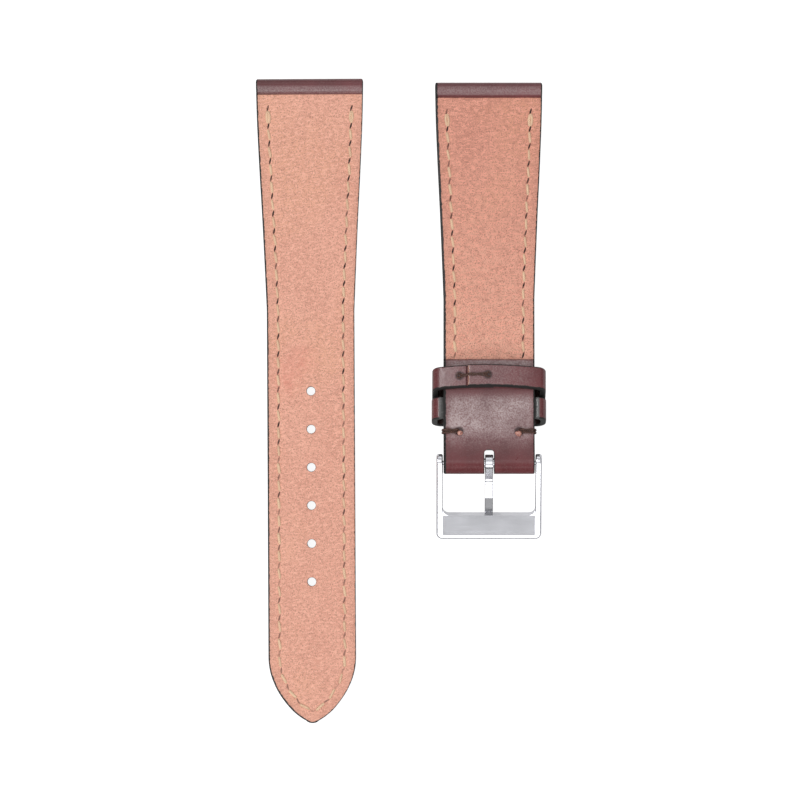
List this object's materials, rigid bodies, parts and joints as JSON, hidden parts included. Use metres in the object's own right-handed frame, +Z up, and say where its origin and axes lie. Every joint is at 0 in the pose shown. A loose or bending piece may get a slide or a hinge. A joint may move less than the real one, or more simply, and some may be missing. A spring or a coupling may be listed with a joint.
{
  "type": "watch strap",
  "caption": "Two-piece leather wrist watch strap, lying lining side up, with turned watch ends, a sewn and a sliding keeper and a tang buckle on a spring bar.",
  "frame": {"origin": "middle of the floor area that the two halves cover, as laid out in the picture", "axes": "+X across the strap, from the long half to the short half; +Y along the strap towards the watch ends; +Z up, the way the lining faces"},
  "size_m": [0.054, 0.12, 0.0097],
  "materials": {
    "front_leather": "burgundy brown pull-up leather, waxed, semi-gloss, with dark painted edges",
    "lining_leather": "natural salmon-tan vegetable-tanned leather, matt, fine pores",
    "interlining": "plain stiffening fleece",
    "stitching_thread": "waxed cream-tan polyester thread",
    "tack_thread": "waxed olive-brown thread",
    "buckle_steel": "polished stainless steel",
    "bar_steel": "plain stainless steel"
  },
  "bodies": {
    "short_half": {"short_outer": "front_leather", "short_interlining": "interlining", "short_lining": "lining_leather", "short_back_thread_left": "stitching_thread", "short_back_thread_right": "stitching_thread", "short_front_thread_left": "stitching_thread", "short_front_thread_right": "stitching_thread", "fixed_keeper": "front_leather", "fold_tack_left": "tack_thread", "fold_tack_right": "tack_thread"},
    "long_half": {"long_outer": "front_leather", "long_interlining": "interlining", "long_lining": "lining_leather", "long_back_thread": "stitching_thread", "long_front_thread": "stitching_thread"},
    "free_keeper": {"free_keeper": "front_leather", "free_keeper_thread": "tack_thread"},
    "buckle": {"buckle_frame": "buckle_steel"},
    "tongue": {"buckle_tongue": "buckle_steel"},
    "spring_bar": {"bar_tube": "bar_steel", "bar_spring": "bar_steel"},
    "pivot_left": {"bar_pivot_left": "bar_steel"},
    "pivot_right": {"bar_pivot_right": "bar_steel"}
  },
  "joints": [
    {"name": "long_half_lift", "type": "slide", "parent": "short_half", "child": "long_half", "axis": [0, 0, 1], "range_m": [0, 0.03]},
    {"name": "free_keeper_slide", "type": "slide", "parent": "short_half", "child": "free_keeper", "axis": [0, 0.9975, -0.0708], "range_m": [0, 0.032]},
    {"name": "buckle_swing", "type": "hinge", "parent": "short_half", "child": "buckle", "pos_m": [0.01637, -0.01165, 0.00698], "axis": [1, 0, 0], "range_deg": [-115, 5]},
    {"name": "tongue_swing", "type": "hinge", "parent": "buckle", "child": "tongue", "pos_m": [0.01637, -0.01165, 0.00698], "axis": [1, 0, 0], "range_deg": [0, 80]},
    {"name": "spring_bar_spin", "type": "hinge", "parent": "short_half", "child": "spring_bar", "pos_m": [0.01637, -0.01165, 0.00698], "axis": [1, 0, 0], "continuous": true},
    {"name": "pivot_left_press", "type": "slide", "parent": "spring_bar", "child": "pivot_left", "axis": [1, 0, 0], "range_m": [0, 0.0009], "stiffness_N_per_m": 300, "springref_m": -0.001, "deforming": ["bar_spring"]},
    {"name": "pivot_right_press", "type": "slide", "parent": "spring_bar", "child": "pivot_right", "axis": [-1, 0, 0], "range_m": [0, 0.0009], "stiffness_N_per_m": 300, "springref_m": -0.001, "deforming": ["bar_spring"]}
  ]
}
